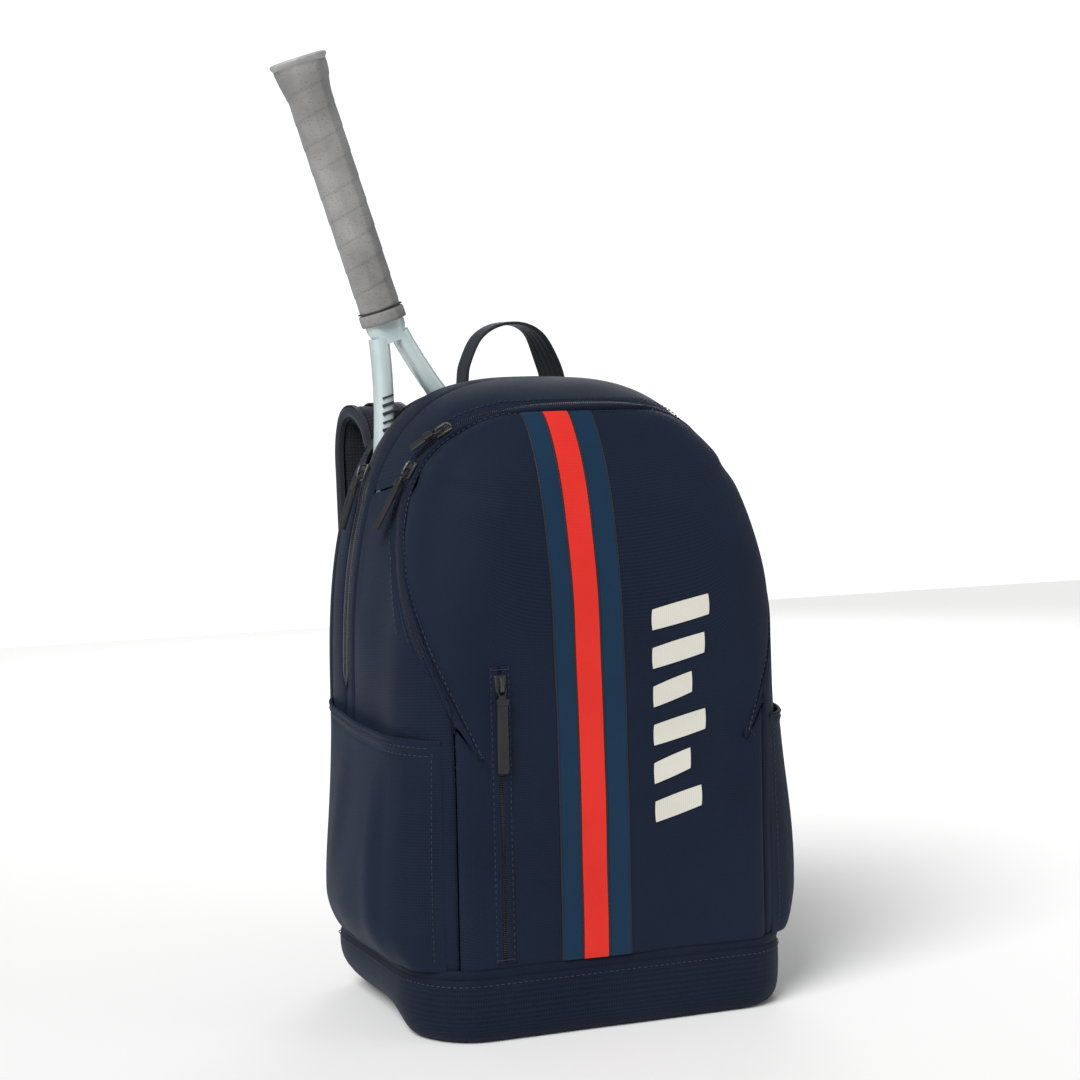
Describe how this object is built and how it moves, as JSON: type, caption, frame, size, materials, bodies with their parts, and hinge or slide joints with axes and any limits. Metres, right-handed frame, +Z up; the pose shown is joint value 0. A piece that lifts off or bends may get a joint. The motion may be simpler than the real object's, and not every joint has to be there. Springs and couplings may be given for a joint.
{
  "type": "racket backpack",
  "caption": "Free-standing racket backpack with zipped compartments, side pockets, padded straps, a haul loop and a tennis racket held handle-up at the rear.",
  "frame": {"origin": "middle of the flat underside, level with the surface the bag stands on", "axes": "+Z up, -Y towards the front panel, +Y towards the wearer's back, +X to the right when looking at the front"},
  "size_m": [0.3413, 0.2826, 0.6841],
  "materials": {
    "navy_cloth": "matte woven polyester with a soft sheen",
    "boot_cloth": "matte coated polyester",
    "navy_gusset": "matte woven polyester",
    "base_board": "matte board",
    "black_lining": "plain lining cloth",
    "black_mesh": "padded spacer mesh",
    "black_webbing": "ribbed webbing",
    "black_tape": "woven zip tape",
    "zip_coil": "nylon coil",
    "slider_metal": "black lacquer",
    "pull_rubber": "matte moulded rubber",
    "buckle_plastic": "matte moulded plastic",
    "red_tape": "woven tape",
    "blue_tape": "woven tape",
    "cream_print": "matte transfer print",
    "racket_paint": "satin lacquer over graphite",
    "string_nylon": "satin string",
    "bumper_plastic": "matte moulded plastic",
    "grip_wrap": "matte perforated wrap",
    "butt_plastic": "matte plastic under wrap"
  },
  "bodies": {
    "bag": {"boot": "boot_cloth", "base_board": "base_board", "front_panel": "navy_cloth", "front_pocket_lining": "black_lining", "top_gusset": "navy_cloth", "racket_gusset_front": "navy_gusset", "racket_gusset_rear": "navy_gusset", "divider": "black_lining", "back_panel": "navy_cloth", "strap_yoke": "black_mesh", "side_panel_left": "navy_cloth", "side_panel_right": "navy_cloth", "side_pocket_left": "navy_cloth", "side_pocket_right": "navy_cloth", "back_pad_left": "black_mesh", "back_pad_right": "black_mesh", "lower_web_left": "black_webbing", "lower_web_right": "black_webbing", "anchor_wing_left": "navy_cloth", "anchor_wing_right": "navy_cloth", "stripe_red": "red_tape", "stripe_blue_left": "blue_tape", "stripe_blue_right": "blue_tape", "mark_bar_1": "cream_print", "mark_bar_2": "cream_print", "mark_bar_3": "cream_print", "mark_bar_4": "cream_print", "mark_bar_5": "cream_print", "mark_bar_6": "cream_print", "main_zip_tape": "black_tape", "main_zip_chain": "zip_coil", "racket_zip_tape_left": "black_tape", "racket_zip_tape_right": "black_tape", "racket_zip_chain_left": "zip_coil", "racket_zip_chain_right": "zip_coil", "pocket_zip_tape": "black_tape", "pocket_zip_chain": "zip_coil"},
    "racket": {"racket_frame": "racket_paint", "string_bed": "string_nylon", "bumper_guard": "bumper_plastic", "grip": "grip_wrap", "grip_collar": "grip_wrap", "butt_cap": "butt_plastic"},
    "haul_loop": {"haul_loop": "black_webbing"},
    "strap_left": {"shoulder_strap_left": "black_mesh", "strap_tail_left": "black_webbing", "ladder_buckle_left": "buckle_plastic"},
    "strap_right": {"shoulder_strap_right": "black_mesh", "strap_tail_right": "black_webbing", "ladder_buckle_right": "buckle_plastic"},
    "main_upper_slider": {"main_upper_slider": "slider_metal"},
    "main_upper_pull": {"main_upper_pull": "pull_rubber"},
    "main_lower_slider": {"main_lower_slider": "slider_metal"},
    "main_lower_pull": {"main_lower_pull": "pull_rubber"},
    "racket_zip_slider": {"racket_zip_slider": "slider_metal"},
    "racket_zip_pull": {"racket_zip_pull": "pull_rubber"},
    "pocket_zip_slider": {"pocket_zip_slider": "slider_metal"},
    "pocket_zip_pull": {"pocket_zip_pull": "pull_rubber"}
  },
  "joints": [
    {"name": "racket_lift", "type": "slide", "parent": "bag", "child": "racket", "axis": [0, 0, 1], "range_m": [0, 0.04]},
    {"name": "haul_loop_fold", "type": "hinge", "parent": "bag", "child": "haul_loop", "pos_m": [0.011, 0.11, 0.441], "axis": [1, 0, 0], "range_deg": [-25, 14]},
    {"name": "strap_left_swing", "type": "hinge", "parent": "bag", "child": "strap_left", "pos_m": [-0.07, 0.1215, 0.397], "axis": [1, 0, 0], "range_deg": [0, 18]},
    {"name": "strap_right_swing", "type": "hinge", "parent": "bag", "child": "strap_right", "pos_m": [0.07, 0.1215, 0.397], "axis": [1, 0, 0], "range_deg": [0, 18]},
    {"name": "main_upper_slide", "type": "slide", "parent": "bag", "child": "main_upper_slider", "axis": [0.7631, -0.3585, 0.5377], "range_m": [0, 0.014]},
    {"name": "main_upper_pull_swing", "type": "hinge", "parent": "main_upper_slider", "child": "main_upper_pull", "pos_m": [-0.09432, -0.03411, 0.41391], "axis": [0.1156, 0.8944, 0.4321], "range_deg": [0, 110]},
    {"name": "main_lower_slide", "type": "slide", "parent": "bag", "child": "main_lower_slider", "axis": [0.4936, -0.0629, 0.8674], "range_m": [-0.014, 0]},
    {"name": "main_lower_pull_swing", "type": "hinge", "parent": "main_lower_slider", "child": "main_lower_pull", "pos_m": [-0.11761, -0.02624, 0.38661], "axis": [-0.0844, 0.9892, 0.1197], "range_deg": [0, 110]},
    {"name": "racket_zip_slide", "type": "slide", "parent": "bag", "child": "racket_zip_slider", "axis": [0.4002, 0.2082, 0.8925], "range_m": [-0.014, 0]},
    {"name": "racket_zip_pull_swing", "type": "hinge", "parent": "racket_zip_slider", "child": "racket_zip_pull", "pos_m": [-0.12287, 0.06173, 0.3822], "axis": [-0.075, 0.978, -0.1946], "range_deg": [0, 110]},
    {"name": "pocket_zip_slide", "type": "slide", "parent": "bag", "child": "pocket_zip_slider", "axis": [0, 0, 1], "range_m": [-0.178, 0]},
    {"name": "pocket_zip_pull_swing", "type": "hinge", "parent": "pocket_zip_slider", "child": "pocket_zip_pull", "pos_m": [-0.084, -0.1104, 0.244], "axis": [-1, 0, 0], "range_deg": [0, 110]}
  ]
}
